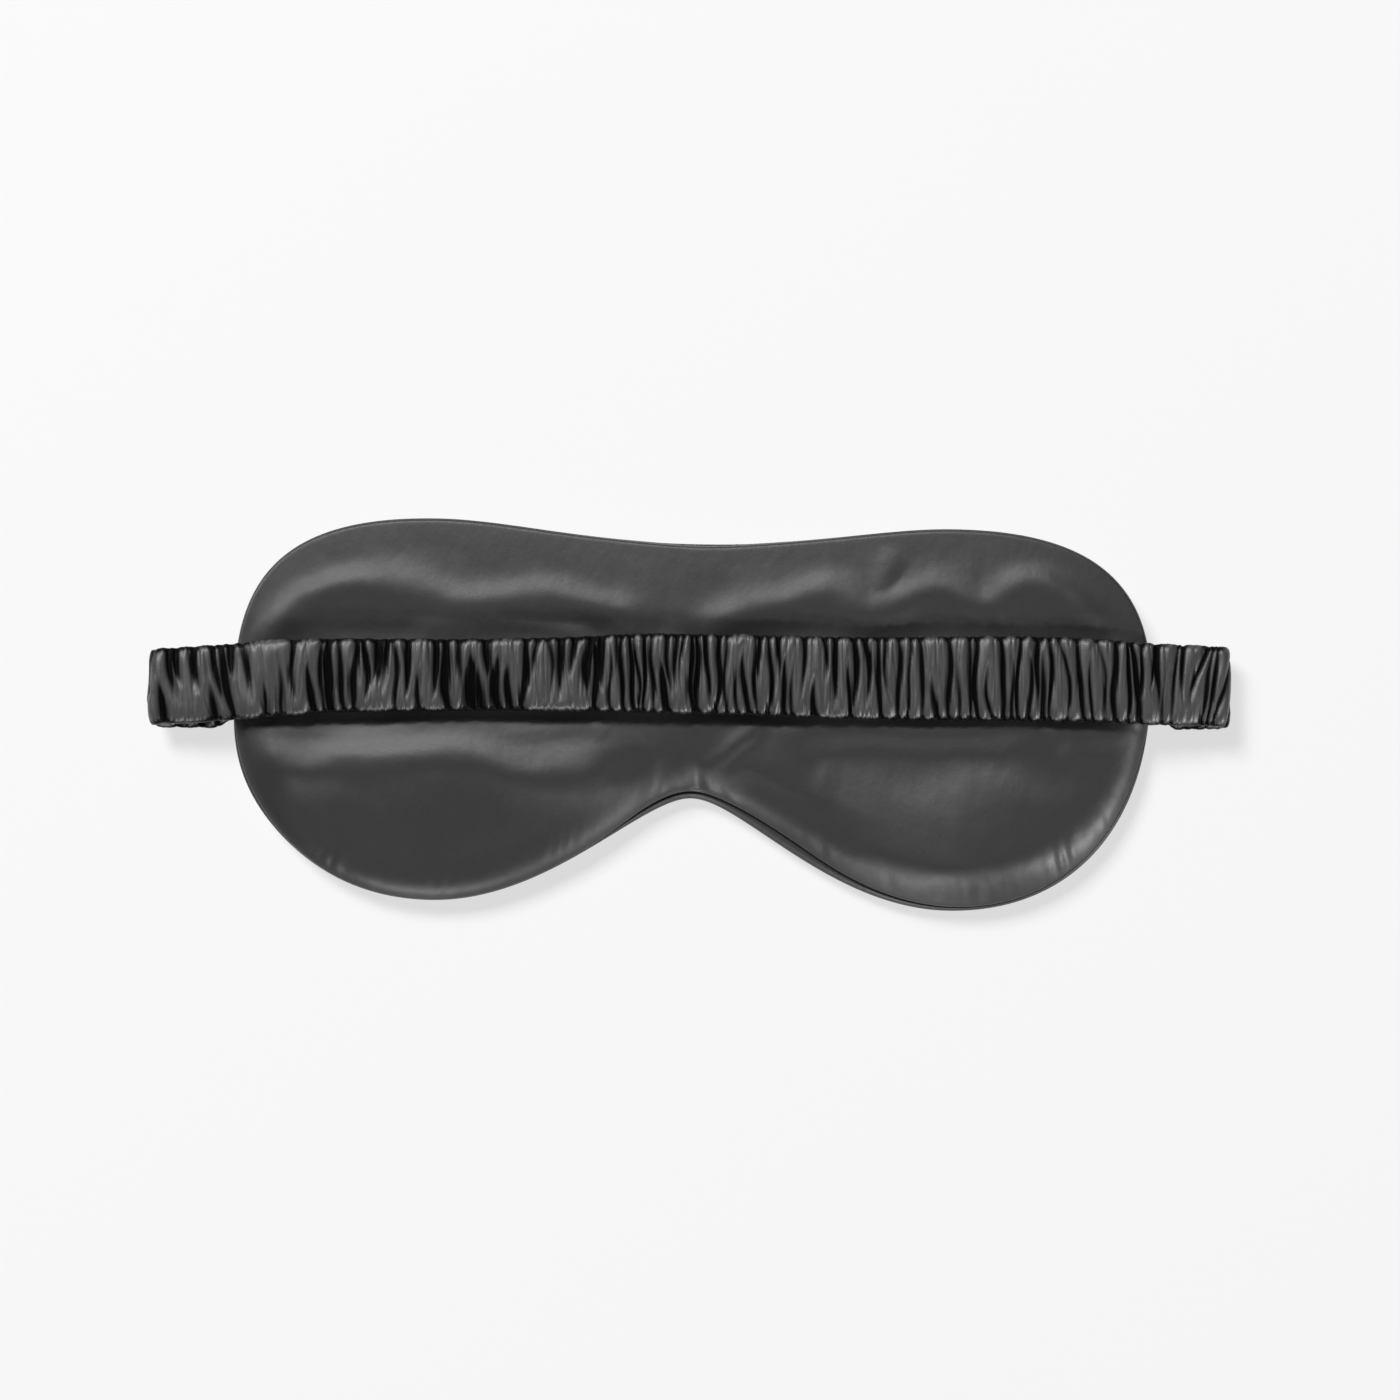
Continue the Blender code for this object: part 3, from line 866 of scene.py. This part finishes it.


# The strap: one gathered tube, cut into lengths; only the last of them rides on a body


def half_fold_line(tip, begin, side):
    """Half the strap's centre line in x and z: out from the seam, round the fold and back."""
    turn_x = tip - TURN_RADIUS - HALF_TALL - TIP_GAP
    back = [(x, SEAM_Z) for x in np.linspace(begin, turn_x, BACK_POINTS)]
    turn = []
    for angle in np.linspace(0, math.pi, TURN_POINTS)[1:]:
        x = turn_x + TURN_RADIUS * math.sin(angle)
        turn.append((x, FOLD_Z - TURN_RADIUS * math.cos(angle)))
    over = np.linspace(turn_x, 0, OVER_POINTS)[1:]
    climb = smooth((CLIMB_X - over) / CLIMB_RUN)
    folded = FOLD_Z + TURN_RADIUS
    on_right = smooth((side * over - STAND_OFF_X) / STAND_OFF_RUN)
    stand_off = LEFT_STAND_OFF + (RIGHT_STAND_OFF - LEFT_STAND_OFF) * on_right
    heights = folded + climb * (CROWN_Z + stand_off - folded)
    return np.array(back + turn + list(zip(over, heights)))


def fold_line():
    """Centre line of the folded strap in the x-z plane, left seam to right seam."""
    left = half_fold_line(LEFT_TIP, SEWN_X, -1) * [-1, 1]
    right = half_fold_line(RIGHT_TIP, PIVOT_END_X, 1)
    return np.concatenate([left, right[-2::-1]])


# S is the distance along the line at each station, and ALONG the same from the strap's middle
LINE = fold_line()
LINE_S = lengths_along(LINE)
S = np.linspace(0, LINE_S[-1], int(LINE_S[-1] / STATION))
LINE_X = np.interp(S, LINE_S, LINE[:, 0])
LINE_Z = np.interp(S, LINE_S, LINE[:, 1])
TOP_RUN = slice(BACK_POINTS + TURN_POINTS, -BACK_POINTS - TURN_POINTS)
ALONG = S - np.interp(0, LINE[TOP_RUN, 0], LINE_S[TOP_RUN])
PACE = np.hypot(np.gradient(LINE_X, S), np.gradient(LINE_Z, S))
TANGENT_X = np.gradient(LINE_X, S) / PACE
TANGENT_Z = np.gradient(LINE_Z, S) / PACE
RETURN = (np.abs(LINE_X) > RETURN_X) & (LINE_Z < FOLD_Z)
TIPS = S[[np.argmin(LINE_X), np.argmax(LINE_X)]]
TURNING = 1 - smooth((np.abs(S[:, None] - TIPS).min(1) - CALM_REACH) / CALM_RUN)


def section(half_wide, half_tall, roundness, count):
    """Evenly spaced points round a flat oval, with outward directions, in (y, up)."""
    a = np.linspace(0, TURN, 4001)
    y = half_wide * np.sign(np.cos(a)) * np.abs(np.cos(a)) ** (2 / roundness)
    up = half_tall * np.sign(np.sin(a)) * np.abs(np.sin(a)) ** (2 / roundness)
    length = np.concatenate([[0], np.cumsum(np.hypot(np.diff(y), np.diff(up)))])
    at = length[-1] * np.arange(count) / count
    y, up = np.interp(at, length, y), np.interp(at, length, up)
    dy = np.roll(y, -1) - np.roll(y, 1)
    du = np.roll(up, -1) - np.roll(up, 1)
    size = np.hypot(dy, du)
    return y, up, du / size, -dy / size


# Creases cross the strap from 0 at its upper edge to 1 at its lower
COVER_Y, COVER_UP, COVER_OUT_Y, COVER_OUT_UP = section(HALF_WIDE, HALF_TALL, SQUARENESS, AROUND)
ACROSS = (1 - COVER_Y / HALF_WIDE) / 2


def press(field, place, span, half, lean, bow, depth, shoulder, wander=0.0, phase=0.0, rounding=0.0):
    """Presses one lens-shaped crease into the field, across the part of the strap's width in span."""
    near_by = np.abs(ALONG - place) < CREASE_REACH
    share = np.clip((ACROSS - span[0]) / (span[1] - span[0]), 0, 1)
    lens = np.sin(math.pi * share) ** 0.7
    middle = place + lean * (0.5 - ACROSS) + bow * (4 * (ACROSS - 0.5) ** 2 - 0.5)
    middle = middle + wander * np.sin(TURN * (1.2 * ACROSS + phase))
    beyond = np.maximum(np.abs(ALONG[near_by][:, None] - middle) - half * lens, 0)
    flank = (1 - rounding) * np.exp(-beyond / shoulder) + rounding * np.exp(-beyond / (3 * shoulder))
    field[near_by] = np.maximum(field[near_by], depth * lens * flank)


def fold_lean(place, left, right):
    """How far creases lean at the two folds, where the strap turns over askew."""
    return left * bump(place + 108, 8) + right * bump(place - 119, 7)


def press_creases(field, rng):
    """Deep creases between puffs: right across, or from one edge part of the way."""
    place = ALONG[0]
    while place < ALONG[-1]:
        puffy = smooth((-16 - place) / 8)
        dense = bump(place - 4, 16)
        tight = smooth((place - 10) / 14)
        kind = rng.uniform()
        if kind < 0.45 - 0.15 * puffy:
            span = (-0.35, 1.35)
        elif kind < 0.75:
            span = (-0.4, rng.uniform(0.55, 1.0))
        else:
            span = (rng.uniform(0.0, 0.45), 1.4)
        half = rng.uniform(0.05, 0.26) * (1 + 0.6 * puffy - 0.3 * dense - 0.25 * tight)
        lean = fold_lean(place, left=-3.4, right=3.2) + rng.normal(0, 0.9)
        depth = rng.uniform(0.65, 1.05)
        shoulder = rng.uniform(0.40, 0.80)
        wander = rng.uniform(0.05, 0.35)
        bow = rng.normal(0, 0.6)
        phase = rng.uniform()
        rounding = 0.2 + 0.5 * puffy
        press(field, place, span, half, lean, bow, depth, shoulder, wander, phase, rounding)
        place += np.interp(place, CREASE_PLACES, CREASE_PACES) * rng.uniform(0.5, 1.5)


def press_fine_folds(field, rng):
    """Fine folds on the puffs, each over a part of the width."""
    place = ALONG[0]
    while place < ALONG[-1]:
        middle = rng.uniform(-0.1, 1.1)
        reach = rng.uniform(0.25, 0.7)
        lean = fold_lean(place, left=-3.0, right=3.0) + rng.normal(0, 1.0)
        bow = rng.normal(0, 0.5)
        depth = rng.uniform(0.15, 0.42)
        span = (middle - reach, middle + reach)
        press(field, place, span, half=0.04, lean=lean, bow=bow, depth=depth, shoulder=0.28)
        place += rng.uniform(0.35, 1.15)


def press_edge(field, rng, edge, pace, longest):
    """Short tucks along one edge of the strap."""
    place = ALONG[0]
    while place < ALONG[-1]:
        reach = rng.uniform(0.06, longest)
        lean = rng.normal(0, 0.8)
        depth = rng.uniform(0.1, 0.35)
        span = (edge - reach, edge + reach)
        press(field, place, span, half=0.16, lean=lean, bow=0.0, depth=depth, shoulder=0.30)
        place += pace * rng.uniform(0.6, 1.5)


def gathers():
    """How deep the cloth is drawn in (0 on a puff, 1 in a crease) and how deep its fine folds are."""
    rng = np.random.RandomState(11)
    crease = np.zeros((len(ALONG), len(ACROSS)))
    fine = np.zeros_like(crease)
    press_creases(crease, rng)
    press_fine_folds(fine, rng)
    press_edge(fine, rng, edge=0, pace=2.1, longest=0.16)
    press_edge(fine, rng, edge=1, pace=1.5, longest=0.24)
    return crease, fine


def lying_middle():
    """y of the strap's centre line: straight on the way out, then as it lies over the face side."""
    middle = np.where(RETURN, RETURN_Y, strap_middle(LINE_X))
    padded = np.pad(middle, SOFTENING // 2, mode="edge")
    return np.convolve(padded, np.ones(SOFTENING) / SOFTENING, mode="valid")


def along_line(across, lift):
    """Points of a strap surface, from distances across the strap and out of its centre line."""
    points = np.empty(np.broadcast(across, lift).shape + (3,))
    points[..., 0] = LINE_X[:, None] - TANGENT_Z[:, None] * lift
    points[..., 1] = lying_middle()[:, None] + across
    points[..., 2] = LINE_Z[:, None] + TANGENT_X[:, None] * lift
    return points


def strap_surface():
    """Points of the tube by station and place round it, and the shade painted on each: deep in a crease,
    lighter on fine folds, and along both edges.
    """
    crease, fine = gathers()
    inside = smooth(-COVER_UP / (0.6 * HALF_TALL))
    doubled = smooth((np.abs(LINE_X) - DOUBLED_X) / DOUBLED_RUN)[:, None] * inside
    calm = 1 - TURNING[:, None] * inside
    crease, fine = crease * calm, fine * calm
    push = np.maximum(PUFF - DOUBLED_DROP * doubled - CREASE * crease - fine, -DEEPEST)
    ends = smooth(np.minimum(S, S[-1] - S)[:, None] / END_RUN)
    flat = END_FLAT + (1 - END_FLAT) * ends
    pinch = 1 - END_PINCH * (1 - ends)
    wide = (strap_half(LINE_X) / HALF_WIDE)[:, None]
    across = (COVER_Y + push * COVER_OUT_Y * EDGE_SWELL) * wide * pinch
    # Painted shade: creases, fine folds and a band along each edge are darkened in the strap's colour
    rim = smooth((np.abs(COVER_Y) - HALF_WIDE + EDGE_SHADE_WIDE) / EDGE_SHADE_WIDE)
    painted_shade = crease + FINE_SHADE * fine + rim * np.where(COVER_Y > 0, UPPER_SHADE, LOWER_SHADE)
    return along_line(across, (COVER_UP + push * COVER_OUT_UP) * flat), painted_shade


def elastic_surface():
    y, up, _, _ = section(ELASTIC_WIDE / 2, ELASTIC_HALF_TALL, ELASTIC_SQUARENESS, RIBBON_AROUND)
    ribs = up + RIB_HEIGHT * np.sign(up) * np.cos(TURN * y / RIB_PITCH)
    return along_line(np.tile(y, (len(S), 1)), np.tile(ribs, (len(S), 1)))


# Each length: its name, solid, end and the end's play, then its bodies and the turn between them
LENGTHS = (
    (
        ("left_seam", "left_end", -133.0, 2.5),
        ("mask", "left_return", (-106.0, SEAM_Z), (-109.5, SEAM_Z)),
    ),
    (
        ("left_fold", "left", -90.0, 2.5),
        ("left_return", "left_span", (-FOLD_X, FOLD_Z - 0.15), (-FOLD_X, FOLD_Z + 0.15)),
    ),
    (
        ("left_half", "left", 0.0, 2.5),
        ("left_span", "middle_span", (-BEND_X - 20, CROWN_Z), (-BEND_X + 20, CROWN_Z)),
    ),
    (
        ("right_half", "middle", 90.0, 2.5),
        ("middle_span", "right_span", (BEND_X - 20, CROWN_Z), (BEND_X + 20, CROWN_Z)),
    ),
    (
        ("right_fold", "right", 127.5, 1.1),
        ("right_span", "right_return", (FOLD_X, FOLD_Z + 0.15), (FOLD_X, FOLD_Z - 0.15)),
    ),
    (
        ("right_seam", "right_end", None, None),
        ("right_return", None, None, None),
    ),
)


def last_station(place, reach, depth):
    """The station of the deepest crease near a place along the strap, or else its last one."""
    if place is None:
        return len(S) - 1
    window = np.abs(ALONG - place) < reach
    return int(np.argmax(np.where(window, depth.mean(1), -1)))


def make_cover(name, rows, depth):
    """A length of the tube, which keeps the painted shade of its creases and edges for its material."""
    shell = thickened(rows.reshape(-1, 3), tube_faces(len(rows), AROUND), CLOTH)
    piece = new_mesh("strap_cover_" + name + "_satin", *shell, STRAP_SATIN)
    painted_shade = piece.data.attributes.new("painted_crease_shade", "FLOAT", "POINT")
    both_sides = np.concatenate([depth.ravel(), depth.ravel()])
    painted_shade.data.foreach_set("value", both_sides.astype(np.float32))
    return piece


def make_ribbon(name, rows):
    """A length of the elastic, closed at both ends."""
    faces = tube_faces(len(rows), RIBBON_AROUND)
    last = (len(rows) - 1) * RIBBON_AROUND
    faces.append(tuple(reversed(range(RIBBON_AROUND))))
    faces.append(tuple(last + i for i in range(RIBBON_AROUND)))
    return new_mesh("strap_elastic_" + name, rows.reshape(-1, 3), faces, ELASTIC)


def attach(piece, first, second, start, end):
    """Rides on one body when there is no second; otherwise the piece only has its place baked into its mesh.
    """
    if second is None:
        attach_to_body(piece, first)
        return
    start, end = ((x * MM, STRAP_Y * MM, z * MM) for x, z in (start, end))
    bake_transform(piece)


def make_strap():
    # depth holds the painted shade of creases and edges, and its darkest stations choose where the strap is
    # cut
    cover, depth = strap_surface()
    ribbon = elastic_surface()
    begin = 0
    for (name, node, place, reach), (first, second, start, end) in LENGTHS:
        finish = last_station(place, reach, depth)
        piece = make_cover(name, cover[begin : finish + 1], depth[begin : finish + 1])
        inner = make_ribbon(name, ribbon[begin : finish + 1 : RIBBON_STEP])
        for item, slot in ((piece, "satin"), (inner, "elastic")):
            attach(item, first, second, start, end)
        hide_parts("strap_cover_" + node)
        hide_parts("strap_elastic_" + node)
        begin = finish


# Sewn ends and stitches


def make_sewn_end(end, side, reach_x):
    """The flattened, pleated end of the strap tube, caught in the side seam."""
    x = np.linspace(TAB_X, reach_x, TAB_ROWS)
    y = np.linspace(-TAB_HALF, TAB_HALF, TAB_COLUMNS)
    gx, gy = np.meshgrid(x, y, indexing="ij")
    wave = np.sin(TURN * gy / PLEAT_PITCH + 1.5 * ripples_along(gy, length=6, seed=31))
    pleat = PLEAT_HEIGHT * wave * smooth((gx - PLEAT_X) / PLEAT_RUN)
    grid = np.column_stack([side * gx.ravel(), STRAP_Y + gy.ravel(), SEAM_Z + pleat.ravel()])
    faces = grid_faces(TAB_ROWS, TAB_COLUMNS)
    faces = faces if side > 0 else flipped(faces)
    return new_mesh("sewn_end_" + end + "_satin", *thickened(grid, faces, CLOTH), STRAP_SATIN)


def capsules(starts, stops, radius):
    """Short round-ended threads from starts to stops."""
    rings = ((0.0, 0.05), (0.06, 0.6), (0.2, 0.95), (0.5, 1.0), (0.8, 0.95), (0.94, 0.6), (1.0, 0.05))
    sides = 8
    points, faces = [], []
    for a, b in zip(starts, stops):
        along = (b - a) / np.linalg.norm(b - a)
        out = np.cross(along, (0.0, 0.0, 1.0))
        out = out / np.linalg.norm(out) if np.linalg.norm(out) > 0.1 else np.array((1.0, 0.0, 0.0))
        up = np.cross(out, along)
        first = len(points)
        for share, size in rings:
            middle = a + share * (b - a)
            for k in range(sides):
                angle = TURN * k / sides
                points.append(middle + radius * size * (math.cos(angle) * out + math.sin(angle) * up))
        faces += [tuple(first + i for i in face) for face in tube_faces(len(rings), sides)]
        faces.append(tuple(first + k for k in reversed(range(sides))))
        faces.append(tuple(first + (len(rings) - 1) * sides + k for k in range(sides)))
    return np.array(points), faces


def stitch_run(name, keep):
    """Machine stitches of the perimeter seam, just inside its fold."""
    line = laid(level_ring(PEEK + STITCH_INSET, SEAM_Z))
    length = lengths_along(line)

    def at(place):
        return np.column_stack([np.interp(place, length, line[:, k]) for k in range(3)])

    places = np.arange(STITCH_START, length[-1] - STITCH_STOP, STITCH)
    starts, stops = at(places), at(places + STITCH_LENGTH)
    wanted = keep(starts[:, 1])
    return new_mesh(name, *capsules(starts[wanted], stops[wanted], STITCH_RADIUS), THREAD)


def make_closure():
    """Hand stitches that close the turning gap at the middle of the brow."""
    x = np.array(CLOSURE_X)
    seam_y = np.interp(x, TOP_EDGE[:, 0], TOP_EDGE[:, 1]) - np.interp(x, TOP_EDGE[:, 0], PEEK[: SPOKES + 1])
    low = np.full(len(x), CLOSURE_LOW_Z)
    high = np.full(len(x), CLOSURE_HIGH_Z)
    starts = np.column_stack([x - CLOSURE_HALF, seam_y + 0.12, low])
    stops = np.column_stack([x + CLOSURE_HALF + CLOSURE_SLANT, seam_y - 0.35, high])
    return new_mesh("closure_stitches", *capsules(laid(starts), laid(stops), CLOSURE_RADIUS), THREAD)


# The pieces, each with its body, the node that it stands for and its finish

lining = make_lining()
front = make_front()
interlining = make_interlining()
wadding = make_wadding()
for piece, node, slot in (
    (lining, "lining_panel", "satin"),
    (front, "front_panel", "satin"),
    (interlining, "blackout_interlining", "interlining"),
    (wadding, "wadding", "wadding"),
):
    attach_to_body(piece, "mask")
    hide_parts(node)

make_strap()

# At the open pivot on the right, the sewn end reaches on to the end of the tube
LEFT_REACH = SEWN_X + TAB_LAP
for end, side, reach_x in (("left", -1, LEFT_REACH), ("right", 1, PIVOT_END_X)):
    tab = make_sewn_end(end, side, reach_x)
    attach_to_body(tab, "mask")
    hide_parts("strap_sewn_end_" + end)

for run, keep in (
    ("brow", lambda y: y > BROW_STITCHES_ABOVE),
    ("cheek", lambda y: y < CHEEK_STITCHES_BELOW),
):
    thread = stitch_run("stitches_" + run, keep)
    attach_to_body(thread, "mask")
    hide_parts("seam_thread_" + run)
closure = make_closure()
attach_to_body(closure, "mask")

# Floor, light and camera


def floor_material():
    """Pale floor that shows the camera a lightened shadow."""
    material, tree, bsdf = shader("pale_floor")
    bsdf.inputs["Base Color"].default_value = (FLOOR_GREY, FLOOR_GREY, FLOOR_GREY, 1)
    bsdf.inputs["Roughness"].default_value = 0.9
    bsdf.inputs["Specular IOR Level"].default_value = 0.0
    path = add(tree, "ShaderNodeLightPath")
    glow_colour = (FLOOR_GLOW, FLOOR_GLOW, FLOOR_GLOW, 1)
    glow = add(tree, "ShaderNodeEmission", Color=glow_colour, Strength=1.0)
    seen = path.outputs["Is Camera Ray"]
    for ray in ("Is Glossy Ray", "Is Transmission Ray"):
        either = add(tree, "ShaderNodeMath", operation="MAXIMUM")
        tree.links.new(seen, either.inputs[0])
        tree.links.new(path.outputs[ray], either.inputs[1])
        seen = either.outputs[0]
    share = add(tree, "ShaderNodeMath", operation="MULTIPLY")
    share.inputs[1].default_value = FLOOR_GLOW_SHARE
    mix = add(tree, "ShaderNodeMixShader")
    tree.links.new(seen, share.inputs[0])
    tree.links.new(share.outputs[0], mix.inputs[0])
    tree.links.new(bsdf.outputs[0], mix.inputs[1])
    tree.links.new(glow.outputs[0], mix.inputs[2])
    tree.links.new(mix.outputs[0], tree.nodes["Material Output"].inputs["Surface"])
    return material


def make_floor():
    bpy.ops.mesh.primitive_plane_add(size=FLOOR_SIZE)
    floor = bpy.context.object
    floor.name = "floor"
    floor.data.materials.append(floor_material())


def light_world():
    world = bpy.data.worlds.new("studio")
    bpy.context.scene.world = world
    world.use_nodes = True
    background = world.node_tree.nodes["Background"]
    background.inputs["Color"].default_value = (1, 1, 1, 1)
    background.inputs["Strength"].default_value = AMBIENT


def area_light(name, bearing, elevation, distance, size, share, fill=True, gloss=True):
    """A softbox that gives a level floor that share of a plain exposure.

    Without fill it shows only in gloss, and without gloss only as plain light.
    """
    data = bpy.data.lights.new(name, "AREA")
    data.shape = "RECTANGLE"
    data.size, data.size_y = size
    turn, rise = math.radians(bearing), math.radians(elevation)
    data.energy = math.pi**2 * distance**2 * share / math.sin(rise)
    lamp = bpy.data.objects.new(name, data)
    bpy.context.scene.collection.objects.link(lamp)
    level = math.cos(rise)
    place = Vector((math.cos(turn) * level, math.sin(turn) * level, math.sin(rise))) * distance
    lamp.location = place
    lamp.rotation_euler = (-place).to_track_quat("-Z", "Y").to_euler()
    lamp.visible_diffuse = fill
    lamp.visible_glossy = gloss


def make_camera():
    """Looks straight down, with the photograph's width in view."""
    data = bpy.data.cameras.new("camera")
    data.lens = LENS
    data.sensor_width = SENSOR
    camera = bpy.data.objects.new("camera", data)
    bpy.context.scene.collection.objects.link(camera)
    x, y, z = VIEW_MIDDLE
    camera.location = (x, y, z + VIEW_WIDE * LENS / SENSOR)
    bpy.context.scene.camera = camera


make_floor()
light_world()
area_light("key", bearing=126, elevation=46, distance=5.0, size=(1.7, 1.7), share=0.88, gloss=False)
area_light("overhead", bearing=100, elevation=54, distance=2.6, size=(1.1, 0.35), share=0.31, fill=False)
area_light("side", bearing=150, elevation=40, distance=2.6, size=(0.4, 0.4), share=0.19, fill=False)
area_light("rim", bearing=-38, elevation=32, distance=2.4, size=(0.5, 0.3), share=0.27, fill=False)
area_light("low_rim", bearing=-98, elevation=32, distance=2.4, size=(0.9, 0.3), share=0.17, fill=False)
make_camera()
bpy.context.scene.view_settings.view_transform = "Standard"

bpy.context.view_layer.update()
